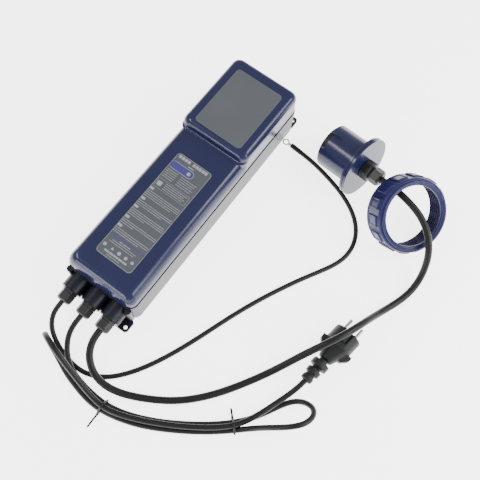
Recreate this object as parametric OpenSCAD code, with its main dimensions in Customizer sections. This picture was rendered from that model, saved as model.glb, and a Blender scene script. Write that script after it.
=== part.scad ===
// Salt chlorine generator, laid on its back: a wall box with its front cover up, three cable
// glands on its lower end, an earth lead, a mains lead with its plug, and a cell lead that ends
// in a flanged cap with a loose union nut.  Millimetres.  The origin is the centre of the four
// wall holes on the back plane, +Y runs towards the raised head, +Z out of the front.

/* [Case] */
// Width of the rear case
case_w = 113; // [105:1:120]
// Length of the rear case
case_l = 383; // [370:1:390]
// Height of the rear case, up to the seam
case_h = 50; // [48:1:56]
// Plan radius of the case's corners
corner_r = 13; // [13:1:16]
// Thickness of the moulded walls
wall = 3; // [2.5:0.1:3.5]

/* [Cover] */
// How far the cover stands back from the case at the seam
cover_step = 1; // [0.5:0.1:1]
// Height of the main front above the seam
cover_h = 25; // [22:1:30]
// Rise of the head above the main front
head_rise = 15; // [10:1:20]
// Length of the raised head
head_l = 136; // [125:1:145]
// Radius of the cover's rounded edges
edge_r = 5.5; // [4:0.5:5.5]
// Width of the grey panel on the head
panel_w = 78; // [60:1:84]
// Length of the grey panel on the head
panel_l = 105; // [90:1:110]
// Width of the rating label
label_w = 58; // [50:1:64]
// Length of the rating label
label_l = 177; // [150:1:185]

/* [Wall mounting] */
// Spacing of the wall holes across the case
hole_dx = 102; // [100:1:103]
// Spacing of the wall holes along the case
hole_dy = 402; // [400:1:405]
// Diameter of a wall hole
hole_d = 5.5; // [4:0.1:6]
// Thickness of a mounting ear
ear_t = 5; // [4:0.5:6]
// Width of a mounting ear
ear_w = 23; // [20:1:26]

/* [Case glands] */
// Spacing of the three glands
gland_pitch = 32.5; // [31:0.5:33]
// Height of the gland axes above the back plane
gland_z = 28; // [26:1:30]
// Outer diameter of a gland boss
boss_d = 30; // [29:0.5:30.5]
// How far a boss stands out of the case's end
boss_l = 22; // [20:1:24]
// Thread diameter of a case gland
gland_thread = 16; // [15:0.5:16]
// Width across flats of a case gland's nut
gland_af = 19.5; // [19:0.1:20]

/* [Cap] */
// Outer radius of the cap's body
cap_r = 33; // [32:0.5:34]
// Length of the cap's body, from its open end to the flange
cap_l = 54; // [50:1:56]
// Radius of the cap's flange
flange_r = 45.5; // [45:0.5:46]
// Thickness of the cap's flange
flange_t = 8; // [7:0.5:9]
// Heading of the cap's axis, from its open end to the flange
cap_heading = -10; // [-12:1:-8]
// Thread diameter of the cap's gland
cap_thread = 20; // [18:0.5:20]

/* [Union nut] */
// Bore radius inside the thread crests
nut_bore_r = 46.5; // [46.5:0.1:47]
// Bore radius of the lip that holds the flange
lip_r = 43; // [42:0.1:43.5]
// Outer radius between the grips
nut_r = 53.5; // [53:0.5:54]
// How far a grip stands out
grip_h = 2.5; // [1.5:0.1:2.5]
// Length of the union nut along its axis
nut_l = 38; // [36:1:40]
// Number of grips around the nut
grip_count = 14; // [10:1:16]
// Lean of the nut's axis from upright
nut_lean = 38; // [37:1:39]
// Direction in which the nut's axis leans
nut_heading = -29; // [-30:1:-28]

/* [Leads] */
// Diameter of the earth lead
earth_d = 7; // [6:0.1:7.1]
// Diameter of the mains lead
mains_d = 7.6; // [6.5:0.1:7.7]
// Diameter of the cell lead
cell_d = 10; // [8:0.1:10]

/* [Mains plug] */
// Height of the plug's axis, which is half its height across the flats
plug_z = 18.5; // [18:0.1:19]
// Heading of the plug's axis, from the lead to the pins
plug_heading = 81; // [79:1:83]
// Diameter of a pin
pin_d = 4.8; // [4:0.1:4.8]
// Spacing of the pins
pin_pitch = 19; // [19:1:19]
// Length of a pin
pin_l = 19; // [18:0.5:19]

/* [Hidden] */
$fn = 72;

// Heights and plan places of the box
seam_z = case_h;
front_z = seam_z + cover_h;
head_z = front_z + head_rise;
case_mid_y = 5.5;
case_low_y = case_mid_y - case_l / 2;
case_high_y = case_mid_y + case_l / 2;
cover_w = case_w - 2 * cover_step;
cover_l = case_l - 2 * cover_step;
cover_r = corner_r - cover_step;
head_low_y = case_high_y - cover_step - head_l;
head_mid_y = case_high_y - cover_step - head_l / 2;
label_mid_y = -64;
panel_mid_y = 123;
panel_t = 1.2;
panel_sink = 0.8;
label_t = 0.4;

// Cover screws: they rise from the back through columns into posts of the cover
screw_places = [for (x = [-46.5, 46.5], y = [case_low_y + 12, case_mid_y, case_high_y - 12]) [x, y]];
screw_d = 3.2;
screw_head_d = 6.8;
screw_top = 64;
column_d = 9;
post_d = 8;
recess_h = 3.2;

// Sealing rib of the seam
groove_w = 1.3;
groove_h = 1.2;
groove_in = 1.2;

// Power board and what stands on it
board_w = 80;
board_l = 250;
board_t = 1.6;
board_z = 12;
board_mid_y = -5;
board_top = board_z + board_t;
pillar_places = [for (x = [-35, 35], y = [-122, -5, 112]) [x, y]];

// Glands, each along its own +Z, with 0 on the face that it is fitted to
boss_face_y = case_low_y - boss_l;
boss_wall = 3;
gland_slack = 0.4;
washer_t = 1;
case_collar_h = 3;
case_stub_h = 13;
case_nut_z = 4.6;
case_nut_end = 18;
cap_collar_h = 13;
cap_stub_h = 26;
cap_nut_z = 17;
cap_nut_end = 31;
cap_collar_af = 27;
cap_nut_af = 22;
thread_in = 9;
lead_start_y = boss_face_y + 8;

// Cap: it lies on its flange's rim and on the rim of its open end
cap_pitch = atan((flange_r - cap_r) / cap_l);
cap_place = [127, 187, cap_r * cos(cap_pitch)];
cap_wall = 3.5;
cap_end_t = 5;

// Union nut: its lower rim is on the ground, and the lead passes through its bore
nut_outer = nut_r + grip_h;
nut_place = [262.3, 158, (nut_r - 1) * sin(nut_lean)];
lip_t = 6;
grip_w = 15;

// Plug: its places along its own axis, forward from the tail
plug_tail = [286, -118, plug_z];
plug_l = 86;
head_r = 20;
front_l = 24;
flare_y = 24.5;

// Routes of the leads.  Each lead leaves its gland straight, comes down and lies on the ground;
// humps carry it over what it crosses.
earth_route = [[-32.5, -200, 28], [-32.5, -216, 28], [-32.5, -230, 28], [-32.4, -242, 26.4],
    [-29, -253.5, 20.3], [-22, -262.8, 12.4], [-11.5, -269.5, 6], [3, -275.5, 3.5],
    [20.5, -279.5, 3.5], [38, -281, 3.5], [57, -277, 3.5], [77, -265, 3.5], [95, -244, 3.5],
    [111, -218, 3.5], [126, -186, 3.5], [140, -150, 3.5], [154, -110, 3.5], [170, -70, 3.5],
    [188, -32, 3.5], [206, 2, 3.5], [223, 30, 3.5], [236, 56, 3.5], [238, 84, 3.5],
    [226, 112, 3.5], [203, 132, 3.5], [174, 146, 3.5], [142, 155, 3.8], [114, 161, 4],
    [92, 163, 4]];

mains_route = [[0, -200, 28], [0, -214, 28], [0, -228, 28], [0, -240, 27], [1, -252, 22],
    [6, -264, 16], [16, -276, 12.6], [31, -286, 11.8], [49, -291, 7.5], [70, -294, 5],
    [94, -295, 5], [122, -289, 4.5], [151, -277, 4], [177, -263, 4], [201, -247.5, 4.5],
    [223, -231.5, 5], [243, -214, 5], [260, -194, 4.2], [273, -172, 4], [285, -150, 3.4],
    [299, -139.5, 8], [313.5, -139.5, 20], [320, -149.5, 33], [316, -165.5, 42],
    [304, -179, 42.5], [290, -189.5, 34], [276, -199, 22.5], [262, -210, 10.5], [246, -224, 5],
    [228, -239, 5], [206, -255, 4.5], [181, -270.5, 4], [155, -285, 4], [125, -297, 4.5],
    [94, -304, 5], [70, -303.5, 4.5], [48, -299, 4], [30, -294.5, 4], [16, -289, 4],
    [2, -283.5, 3.4], [-13.5, -277, 9], [-21.5, -272.5, 25], [-17, -271.5, 43], [-4, -275, 54.5],
    [13.5, -280.5, 54.5], [29, -285, 46], [45, -289.5, 34.5], [62, -294, 23], [80, -298, 14],
    [100, -299, 11.2], [127, -291, 11.4], [164, -274, 11], [200, -253, 11.4], [226, -235, 11.8],
    [247, -216.5, 12.2], [261, -192, 12.8], [270.5, -167, 11.5], [278, -148, 11.5],
    [282, -136, 15], [284.5, -127, 18], [286, -118, 18.5]];

cell_route = [[32.5, -200, 28], [32.5, -212, 28], [32.5, -224, 28], [32.6, -236, 27.6],
    [35, -248.3, 25.3], [41.5, -260, 22], [52.5, -269.5, 18.5], [66.5, -275.3, 15.3],
    [83, -276.5, 12.5], [105, -271.5, 8.5], [132, -258.5, 6], [162, -240.5, 5], [188, -216.5, 5],
    [210, -188.5, 5], [230, -157, 5.5], [248, -126, 10], [264, -95, 26], [282, -66, 44.5],
    [296, -40, 45.5], [306, -13, 36], [315, 12, 17], [324, 34, 6], [334, 58, 5], [339, 80, 7],
    [338, 98, 17], [333, 112, 31], [326, 124, 42], [316, 137, 47], [303, 149, 51], [285, 158, 55],
    [264, 163, 58.5], [246, 166, 59.5], [233.5, 168.2, 57.2], [225, 169.7, 55.1],
    [216.2, 171.3, 53.1], [204, 173.5, 50.2], [191, 175.7, 47.3], [178, 178, 44.2]];

// ---------------------------------------------------------------- shared shapes

// Plan outline with round corners, centred
module round_rect(w, l, r) {
    square([w - 2 * r, l], center = true);
    square([w, l - 2 * r], center = true);
    for (x = [-1, 1], y = [-1, 1])
        translate([x * (w / 2 - r), y * (l / 2 - r)]) circle(r);
}

module ring_outline(w, l, r, t) {
    difference() {
        round_rect(w, l, r);
        round_rect(w - 2 * t, l - 2 * t, r - t);
    }
}

// Outline of a rounded edge: a quarter round of the given radius beyond x = reach
module edge_outline(reach, edge) {
    polygon(concat([[0, 0]], [for (a = [0 : 15 : 90]) [reach + edge * cos(a), edge * sin(a)]], [[0, edge]]));
}

// Solid with a flat bottom and a rounded top edge: a prism, and a top layer of a cross, four
// rounded bars and four rounded corners that meet face to face
module soft_block(w, l, r, z0, z1, edge) {
    translate([0, 0, z0]) linear_extrude(z1 - edge - z0) round_rect(w, l, r);
    translate([0, 0, z1 - edge]) {
        for (side = [-1, 1]) {
            translate([side * (w / 2 - r), (l / 2 - r) * side, 0]) rotate([90, 0, 90 - 90 * side])
                linear_extrude(l - 2 * r) edge_outline(r - edge, edge);
            translate([-side * (w / 2 - r), (l / 2 - r) * side, 0]) rotate([90, 0, 90 * side])
                linear_extrude(w - 2 * r) edge_outline(r - edge, edge);
        }
        linear_extrude(edge) square([w - 2 * r, l - 2 * r], center = true);
        for (turn = [0 : 3])
            translate([(w / 2 - r) * (turn == 0 || turn == 3 ? 1 : -1),
                (l / 2 - r) * (turn < 2 ? 1 : -1), 0])
                rotate([0, 0, 90 * turn]) rotate_extrude(angle = 90) edge_outline(r - edge, edge);
    }
}

module hex(af, h) {
    cylinder(d = af / cos(30), h = h, $fn = 6);
}

module tube(d_out, d_in, h) {
    difference() {
        cylinder(d = d_out, h = h);
        translate([0, 0, -1]) cylinder(d = d_in, h = h + 2);
    }
}

// Cubic B-spline through the ends of a route
function padded(p) = concat([2 * p[0] - p[1]], p, [2 * p[len(p) - 1] - p[len(p) - 2]]);
function spline_at(q, u) =
    let (i = min(floor(u), len(q) - 4), t = u - i)
    (pow(1 - t, 3) * q[i] + (3 * pow(t, 3) - 6 * t * t + 4) * q[i + 1]
        + (-3 * pow(t, 3) + 3 * t * t + 3 * t + 1) * q[i + 2] + pow(t, 3) * q[i + 3]) / 6;
function unit(v) = v / norm(v);
function heading_at(q, u, last) = unit(spline_at(q, min(u + 0.01, last)) - spline_at(q, max(u - 0.01, 0)));

// One round lead swept along a route, with flat ends
module lead(route, d, rings, sides) {
    q = padded(route);
    last = len(route) - 1;
    points = [for (k = [0 : rings])
        let (u = last * k / rings, c = spline_at(q, u), t = heading_at(q, u, last),
            s = unit(cross(t, [0, 0, 1])), n = cross(s, t))
        for (j = [0 : sides - 1])
            c + d / 2 * (cos(360 * j / sides) * s + sin(360 * j / sides) * n)];
    skin = [for (k = [0 : rings - 1], j = [0 : sides - 1])
        [k * sides + j, k * sides + (j + 1) % sides,
            (k + 1) * sides + (j + 1) % sides, (k + 1) * sides + j]];
    start = [for (j = [0 : sides - 1]) sides - 1 - j];
    end = [for (j = [0 : sides - 1]) rings * sides + j];
    polyhedron(points, concat(skin, [start, end]), convexity = 6);
}

// ---------------------------------------------------------------- box

module case_shell() {
    difference() {
        union() {
            translate([0, case_mid_y, 0]) linear_extrude(case_h) round_rect(case_w, case_l, corner_r);
            for (i = [-1 : 1])
                translate([i * gland_pitch, case_low_y + 2, gland_z]) rotate([90, 0, 0])
                    cylinder(d = boss_d, h = boss_l + 2);
            for (x = [-1, 1]) translate([x * 49, case_low_y - 1, ear_t]) cylinder(d = 9, h = 38);
        }
        translate([0, case_mid_y, wall]) linear_extrude(case_h)
            round_rect(case_w - 2 * wall, case_l - 2 * wall, corner_r - wall);
        for (i = [-1 : 1])
            translate([i * gland_pitch, case_low_y + 10, gland_z]) rotate([90, 0, 0])
                cylinder(d = boss_d - 5, h = boss_l + 10 - boss_wall);
    }
}

module ears() {
    for (x = [-1, 1], y = [-1, 1])
        translate([x * (case_w - ear_w) / 2, y * (hole_dy / 2 - 3.5), 0])
            linear_extrude(ear_t) round_rect(ear_w, 20, 5);
}

module rear_case() {
    color("#15172a") difference() {
        union() {
            case_shell();
            ears();
            for (p = screw_places) translate([p[0], p[1], 0]) cylinder(d = column_d, h = seam_z);
            for (p = pillar_places) translate([p[0], p[1], 1]) cylinder(d = 7, h = board_z - 1);
        }
        for (x = [-1, 1], y = [-1, 1])
            translate([x * hole_dx / 2, y * hole_dy / 2, -1]) cylinder(d = hole_d, h = ear_t + 2);
        for (i = [-1 : 1])
            translate([i * gland_pitch, boss_face_y - 1, gland_z]) rotate([-90, 0, 0])
                cylinder(d = gland_thread + gland_slack, h = boss_wall + 3);
        for (p = screw_places) {
            translate([p[0], p[1], -1]) cylinder(d = screw_head_d + 0.6, h = recess_h + 1);
            translate([p[0], p[1], -1]) cylinder(d = screw_d + 0.6, h = case_h + 2);
        }
        for (p = pillar_places) translate([p[0], p[1], 4]) cylinder(d = 2.8, h = board_z);
        translate([0, case_mid_y, seam_z - groove_h]) linear_extrude(groove_h + 1)
            ring_outline(case_w - 2 * groove_in, case_l - 2 * groove_in, corner_r - groove_in, groove_w);
    }
}

module cover_gasket() {
    color("#202020") translate([0, case_mid_y, seam_z - groove_h]) linear_extrude(groove_h)
        ring_outline(case_w - 2 * groove_in, case_l - 2 * groove_in, corner_r - groove_in, groove_w);
}

module cover_shell() {
    difference() {
        union() {
            translate([0, case_mid_y, 0])
                soft_block(cover_w, cover_l, cover_r, seam_z, front_z, edge_r);
            translate([0, head_mid_y, 0])
                soft_block(cover_w, head_l, cover_r, seam_z, head_z, edge_r);
        }
        translate([0, case_mid_y, 0])
            soft_block(cover_w - 2 * wall, cover_l - 2 * wall, cover_r - wall, seam_z - 2,
                front_z - wall, edge_r - wall + 1);
        translate([0, head_mid_y, 0])
            soft_block(cover_w - 2 * wall, head_l - 2 * wall, cover_r - wall, seam_z - 2,
                head_z - wall, edge_r - wall + 1);
    }
}

module front_cover() {
    lip = wall + 0.3 - cover_step;
    color("#1c2150") difference() {
        union() {
            cover_shell();
            for (p = screw_places) {
                roof = p[1] > head_low_y ? head_z : front_z;
                translate([p[0], p[1], seam_z]) cylinder(d = post_d, h = roof - seam_z - 1);
            }
            translate([0, case_mid_y, seam_z - 2.5]) linear_extrude(4)
                ring_outline(cover_w - 2 * lip, cover_l - 2 * lip, cover_r - lip, 1.5);
        }
        for (p = screw_places) {
            translate([p[0], p[1], seam_z - 3]) cylinder(d = screw_d + 0.4, h = 19);
            translate([p[0], p[1], seam_z - 3]) cylinder(d = column_d + 0.6, h = 3);
        }
        translate([0, panel_mid_y, head_z - panel_sink]) linear_extrude(2)
            round_rect(panel_w + 0.4, panel_l + 0.4, 6.2);
    }
}

module cover_screws() {
    color("silver") for (p = screw_places) translate([p[0], p[1], recess_h]) {
        difference() {
            translate([0, 0, -2.6]) cylinder(d = screw_head_d, h = 2.6);
            translate([-2, -0.5, -3]) cube([4, 1, 2]);
            translate([-0.5, -2, -3]) cube([1, 4, 2]);
        }
        cylinder(d = screw_d, h = screw_top - recess_h);
    }
}

module head_panel() {
    color("#6d7073") translate([0, panel_mid_y, head_z - panel_sink]) linear_extrude(panel_t)
        round_rect(panel_w, panel_l, 6);
}

module rating_label() {
    color("#7a8084") translate([0, label_mid_y, front_z]) linear_extrude(label_t)
        round_rect(label_w, label_l, 5);
}

// ---------------------------------------------------------------- inside the box

module power_board() {
    color("darkgreen") difference() {
        translate([-board_w / 2, board_mid_y - board_l / 2, board_z]) cube([board_w, board_l, board_t]);
        for (p = pillar_places) translate([p[0], p[1], board_z - 1]) cylinder(d = 3.2, h = board_t + 2);
    }
}

module board_screws() {
    color("silver") for (p = pillar_places) translate([p[0], p[1], 0]) {
        translate([0, 0, board_top]) cylinder(d = 5.4, h = 2);
        translate([0, 0, 5]) cylinder(d = 2.5, h = board_top - 5);
    }
}

core_size = [58, 28, 48];
core_mid_y = 82;
window = [12, 27];

module transformer_core() {
    color("dimgray") translate([0, core_mid_y, board_top]) difference() {
        translate([-core_size[0] / 2, -core_size[1] / 2, 0]) cube(core_size);
        for (x = [-1, 1])
            translate([x * 14 - window[0] / 2, -core_size[1] / 2 - 1, 10])
                cube([window[0], core_size[1] + 2, window[1]]);
    }
}

module transformer_coil() {
    color("#b5651d") translate([0, core_mid_y, board_top + 10]) difference() {
        translate([-19.5, -25, 0]) cube([39, 50, window[1] - 0.5]);
        translate([-8, -core_size[1] / 2, -1]) cube([16, core_size[1], window[1] + 1]);
    }
}

module filter_capacitors() {
    color("#24242c") for (x = [-22, -2], y = [-8, 16])
        translate([x, y, board_top]) cylinder(d = 18, h = 32);
}

sink_x = 13;
sink_mid_y = 5;
sink_l = 80;

module heat_sink() {
    color("silver") translate([sink_x, sink_mid_y - sink_l / 2, board_top]) {
        cube([3, sink_l, 30]);
        for (k = [0 : 6]) translate([2, 0, k * 4.7]) cube([15, sink_l, 1.6]);
    }
}

module power_transistors() {
    color("#202024") for (y = [-24, 0, 24])
        translate([sink_x - 5, sink_mid_y - 8 + y, board_top + 5]) cube([5, 16, 20]);
}

terminal_y = -118;
wire_in = 4;

module terminal_block() {
    color("#3d7a4a") difference() {
        translate([-36, terminal_y, board_top]) cube([72, 14, 16]);
        for (k = [0 : 7]) {
            translate([-31.5 + 9 * k, terminal_y + 7, board_top + 6]) cylinder(d = 4.5, h = 12);
            translate([-31.5 + 9 * k, terminal_y + wire_in, board_top + 5]) rotate([90, 0, 0])
                cylinder(d = 4, h = wire_in + 1);
        }
    }
}

fuse_place = [-24, -88, board_top];

module fuse_holder() {
    color("#2a2a2a") translate(fuse_place) difference() {
        translate([-14, -5, 0]) cube([28, 10, 9]);
        translate([-15, 0, 8]) rotate([0, 90, 0]) cylinder(d = 5.6, h = 30);
        translate([-8, -6, 3]) cube([16, 12, 7]);
    }
}

module fuse() {
    color("gainsboro") translate(fuse_place + [-12, 0, 7.8]) rotate([0, 90, 0]) cylinder(d = 5.2, h = 24);
}

module emi_choke() {
    color("#8a5a2b") translate([18, -82, board_top]) rotate_extrude()
        translate([10, 6]) circle(6, $fn = 32);
}

module relay() {
    color("#2f5fa8") translate([-32, -62, board_top]) cube([30, 14, 17]);
}

module earth_stud() {
    color("#c8a85a") translate([-38, -158, wall]) {
        hex(8, 4);
        cylinder(d = 5, h = 20);
        translate([0, 0, 10.6]) hex(8, 4);
    }
}

wire_d = 2.6;

// One inner wire from the end of a lead to a place on a terminal
module inner_wire(x, turn, target) {
    start = [x + 2 * cos(turn), lead_start_y, gland_z + 2 * sin(turn)];
    lead([start, start + [0, 8, 0], (start + target) / 2 + [0, -6, 4], target + [0, -8, 1], target],
        wire_d, 16, 8);
}

module inner_wires() {
    entry_y = terminal_y + wire_in;
    entry_z = board_top + 5;
    color("firebrick") {
        inner_wire(0, 90, [-13.5, entry_y, entry_z]);
        inner_wire(gland_pitch, 90, [22.5, entry_y, entry_z]);
    }
    color("royalblue") {
        inner_wire(0, 210, [-22.5, entry_y, entry_z]);
        inner_wire(gland_pitch, 210, [13.5, entry_y, entry_z]);
    }
    color("gold") {
        inner_wire(0, 330, [-4.5, entry_y, entry_z]);
        inner_wire(gland_pitch, 330, [31.5, entry_y, entry_z]);
        inner_wire(-gland_pitch, 90, [-38, -162.2, 12]);
        translate([-38, -158, 12.6]) tube(9, 5.2, 1);
    }
}

// ---------------------------------------------------------------- glands

module at_case_gland(i) {
    translate([i * gland_pitch, boss_face_y, gland_z]) rotate([90, 0, 0]) children();
}

module gland_washer(thread) {
    color("#2c2c2c") tube(thread + 5, thread + 0.2, washer_t);
}

module gland_locknut(thread, af, wall_t) {
    color("#1b1b1b") translate([0, 0, -wall_t - 4]) difference() {
        hex(af, 4);
        translate([0, 0, -1]) cylinder(d = thread + 0.2, h = 6);
    }
}

// Threaded body: a stub behind the wall, a collar and a stub that takes the nut
module gland_body(thread, af, collar_h, stub_d, stub_h, lead_d) {
    color("#1b1b1b") difference() {
        union() {
            translate([0, 0, -thread_in]) cylinder(d = thread, h = thread_in + washer_t + 1);
            translate([0, 0, washer_t]) intersection() {
                hex(af, collar_h);
                cylinder(d = af * 1.1, h = collar_h);
            }
            cylinder(d = stub_d, h = stub_h);
        }
        translate([0, 0, -thread_in - 1]) cylinder(d = lead_d + 0.8, h = stub_h + thread_in + 2);
        translate([0, 0, stub_h - 6]) cylinder(d = stub_d - 2.4, h = 7);
    }
}

// Soft ring that the nut presses on the lead
module gland_seal(stub_d, stub_h, nut_end, lead_d) {
    color("#303030") translate([0, 0, stub_h - 5])
        tube(stub_d - 2.8, lead_d + 0.3, nut_end - 2.3 - stub_h + 5);
}

// Hexagonal nut with a round outer edge
module gland_nut(af, z0, z1, stub_d, lead_d) {
    edge = 5;
    r = af * 0.56;
    color("#1b1b1b") difference() {
        intersection() {
            translate([0, 0, z0]) hex(af, z1 - z0);
            union() {
                translate([0, 0, z0 - 1]) cylinder(r = r, h = z1 - z0 + 1 - edge);
                translate([0, 0, z1 - edge]) rotate_extrude() translate([r - edge, 0]) circle(edge);
                translate([0, 0, z0 - 1]) cylinder(r = r - edge, h = z1 - z0 + 1);
            }
        }
        translate([0, 0, z0 - 1]) cylinder(d = stub_d + 0.3, h = z1 - z0 - 1);
        translate([0, 0, z0]) cylinder(d = lead_d + 0.9, h = z1 - z0 + 1);
    }
}

case_stub_d = gland_thread - 0.6;
locknut_af = gland_thread + 5;

module case_gland_body(i, lead_d) {
    at_case_gland(i) gland_body(gland_thread, 20, case_collar_h, case_stub_d, case_stub_h, lead_d);
}

module case_gland_washer(i) {
    at_case_gland(i) gland_washer(gland_thread);
}

module case_gland_locknut(i) {
    at_case_gland(i) gland_locknut(gland_thread, locknut_af, boss_wall);
}

module case_gland_seal(i, lead_d) {
    at_case_gland(i) gland_seal(case_stub_d, case_stub_h, case_nut_end, lead_d);
}

module case_gland_nut(i, lead_d) {
    at_case_gland(i) gland_nut(gland_af, case_nut_z, case_nut_end, case_stub_d, lead_d);
}

// ---------------------------------------------------------------- earth lead

terminal_end = [92, 163, 4];
terminal_heading = 175;
ring_r = 5.6;
ring_hole_r = 3.2;
ring_reach = 29;
sleeve_l = 19;

// Places along the terminal, from the end of the earth lead outwards
module at_terminal() {
    translate(terminal_end) rotate([0, 0, terminal_heading]) children();
}

module earth_lead() {
    color("#191919") lead(earth_route, earth_d, 54, 10);
}

module ring_terminal() {
    color("gainsboro") at_terminal() {
        translate([0, 0, -2.6]) difference() {
            union() {
                translate([ring_reach, 0, 0]) cylinder(r = ring_r, h = 1);
                translate([ring_reach - 9, -2.5, 0]) cube([9, 5, 1]);
            }
            translate([ring_reach, 0, -1]) cylinder(r = ring_hole_r, h = 3);
        }
        translate([11, 0, -0.3]) rotate([0, 90, 0]) cylinder(d = 4.6, h = ring_reach - 18.5);
    }
}

module terminal_sleeve() {
    color("#101010") at_terminal() rotate([0, 90, 0]) difference() {
        cylinder(d = 7.6, h = sleeve_l);
        translate([0, 0, 10.5]) cylinder(d = 6, h = sleeve_l);
    }
}

// ---------------------------------------------------------------- mains lead

tie_w = 2.2;
tie_t = 1.1;

module mains_lead() {
    color("#191919") lead(mains_route, mains_d, 78, 10);
}

// Plastic-covered wire tie around three strands, with one tail.  Two strands lie side by side,
// at +y and -y, and the third lies on them; the tie is loose enough for a strand to ride up.
module wire_tie(place, turn, tail_turn, tail_l) {
    strands = [[-5, 5], [-5, 6.4], [5, 5], [0.7, 12.4]];
    inner_r = mains_d / 2 + 0.7;
    color("#101010") translate(place) rotate([0, 0, turn]) {
        rotate([90, 0, 90]) translate([0, 0, -tie_w / 2]) linear_extrude(tie_w) difference() {
            hull() for (p = strands) translate(p) circle(inner_r + tie_t, $fn = 32);
            hull() for (p = strands) translate(p) circle(inner_r, $fn = 32);
        }
        rotate([0, 0, tail_turn]) {
            translate([-tie_w / 2, 9.9, 3]) cube([tie_w, tail_l, tie_t]);
            translate([-tie_w * 0.7, 9.4, 2]) cube([tie_w * 1.4, 2.6, 3]);
        }
    }
}

module cable_tie_1() {
    wire_tie([94, -298.5, 0], 0, 180, 21);
}

module cable_tie_2() {
    wire_tie([244.6, -218.6, 0], 44, 0, 13);
}

// The pins are wider where the plug's rubber holds them
pin_root_d = 6;
pin_root_l = 8;

module at_plug() {
    translate(plug_tail) rotate([0, 0, plug_heading]) rotate([0, 90, 0]) children();
}

module plug_body() {
    rim_at = plug_l - front_l;
    color("#1b1b1b") at_plug() difference() {
        union() {
            translate([0, 0, rim_at]) intersection() {
                cylinder(r = head_r, h = front_l);
                translate([-plug_z, -head_r, 0]) cube([2 * plug_z, 2 * head_r, front_l]);
            }
            hull() {
                translate([-7, -flare_y, rim_at - 4]) cube([14, 2 * flare_y, 6]);
                translate([-6, -17, rim_at - 13]) cube([12, 34, 1]);
            }
            hull() {
                translate([0, 0, rim_at]) intersection() {
                    cylinder(r = head_r - 1, h = 1, $fn = 32);
                    translate([-16, -head_r, 0]) cube([32, 2 * head_r, 1]);
                }
                translate([0, 0, 38]) cylinder(d = 20, h = 1, $fn = 32);
            }
            cylinder(d = 13, h = 39);
            translate([0, 0, 24]) cylinder(d = 25, h = 9);
            translate([0, 0, 12]) cylinder(d = 20, h = 8);
            translate([0, 0, 1]) cylinder(d = 16.5, h = 7);
        }
        for (y = [-1, 1]) translate([0, y * pin_pitch / 2, plug_l - pin_root_l])
            cylinder(d = pin_root_d, h = pin_root_l + 1);
        translate([10, 0, plug_l - 18]) cylinder(d = 5, h = 19);
        for (x = [-1, 1])
            translate([x > 0 ? plug_z - 2 : -plug_z - 1, -5, plug_l - 18]) cube([3, 10, 19]);
    }
}

module plug_pins() {
    color("silver") at_plug() for (y = [-1, 1]) translate([0, y * pin_pitch / 2, plug_l]) {
        translate([0, 0, -pin_root_l]) cylinder(d = pin_root_d, h = pin_root_l);
        cylinder(d = pin_d, h = pin_l - 1.2);
        translate([0, 0, pin_l - 1.2]) cylinder(d1 = pin_d, d2 = pin_d - 2, h = 1.2);
    }
}

module plug_earth_clips() {
    color("silver") at_plug() for (x = [-1, 1])
        translate([x > 0 ? plug_z - 2 : -plug_z + 1, -3.5, plug_l - 17]) cube([1, 7, 16]);
}

// ---------------------------------------------------------------- cell lead, cap and union nut

module cell_lead() {
    color("#191919") lead(cell_route, cell_d, 52, 12);
}

module at_cap() {
    translate(cap_place) rotate([0, 0, cap_heading]) rotate([0, 90 - cap_pitch, 0]) children();
}

module cap_body() {
    color("#1c2150") at_cap() difference() {
        union() {
            cylinder(r = cap_r, h = cap_l + 1);
            translate([0, 0, cap_l]) cylinder(r = flange_r, h = flange_t);
        }
        translate([0, 0, -1]) cylinder(r = cap_r - cap_wall, h = cap_l + flange_t - cap_end_t + 1);
        translate([0, 0, cap_l]) cylinder(d = cap_thread + 0.4, h = flange_t + 1);
        translate([0, 0, cap_l - 1]) difference() {
            cylinder(r = 39.2, h = 3);
            cylinder(r = 36.2, h = 3);
        }
        translate([0, 0, cap_l + 3.4]) difference() {
            cylinder(r = flange_r + 1, h = 1.2);
            cylinder(r = flange_r - 0.8, h = 1.2);
        }
        rotate([0, 0, 205]) translate([cap_r - 6, -14, -1]) cube([12, 28, 7]);
        rotate([0, 0, 188]) translate([cap_r - 2.2, -2.2, -1]) cube([12, 4.4, 22]);
    }
}

module cap_oring() {
    color("#101010") at_cap() translate([0, 0, cap_l + 0.5]) rotate_extrude()
        translate([37.7, 0]) circle(1.5, $fn = 24);
}

module cap_insert() {
    insert_r = cap_r - cap_wall;
    color("#161616") at_cap() difference() {
        translate([0, 0, -2.5]) cylinder(r = insert_r, h = 19.5);
        translate([0, 0, -3.5]) difference() {
            cylinder(r = insert_r - 3, h = 5);
            cylinder(r = 14.5, h = 6);
        }
        for (a = [45 : 90 : 315])
            rotate([0, 0, a]) translate([9, 0, -4]) cylinder(d = 3, h = 22);
        for (a = [0, 180])
            rotate([0, 0, a]) translate([13.5, -3, -4]) cube([2, 6, 5.5]);
        translate([0, 0, 13]) cylinder(r = 20, h = 5);
    }
}

module cap_contacts() {
    color("gainsboro") at_cap() {
        for (a = [45 : 90 : 315])
            rotate([0, 0, a]) translate([9, 0, -2]) cylinder(d = 3, h = 17);
        for (a = [0, 180])
            rotate([0, 0, a]) translate([13.5, -3, -2]) cube([1.6, 6, 3.5]);
    }
}

// Wires from the end of the cell lead to the back of each contact
module cap_wires() {
    color("firebrick") at_cap() for (a = [45 : 90 : 315])
        let (c = cos(a), s = sin(a))
            lead([[2.6 * c, 2.6 * s, cap_l - 1.4], [2.6 * c, 2.6 * s, 46], [6 * c, 6 * s, 34],
                [9 * c, 9 * s, 24], [9 * c, 9 * s, 15]], 2.4, 12, 8);
}

module at_cap_gland() {
    at_cap() translate([0, 0, cap_l + flange_t]) children();
}

cap_stub_d = cap_thread - 1.4;

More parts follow.
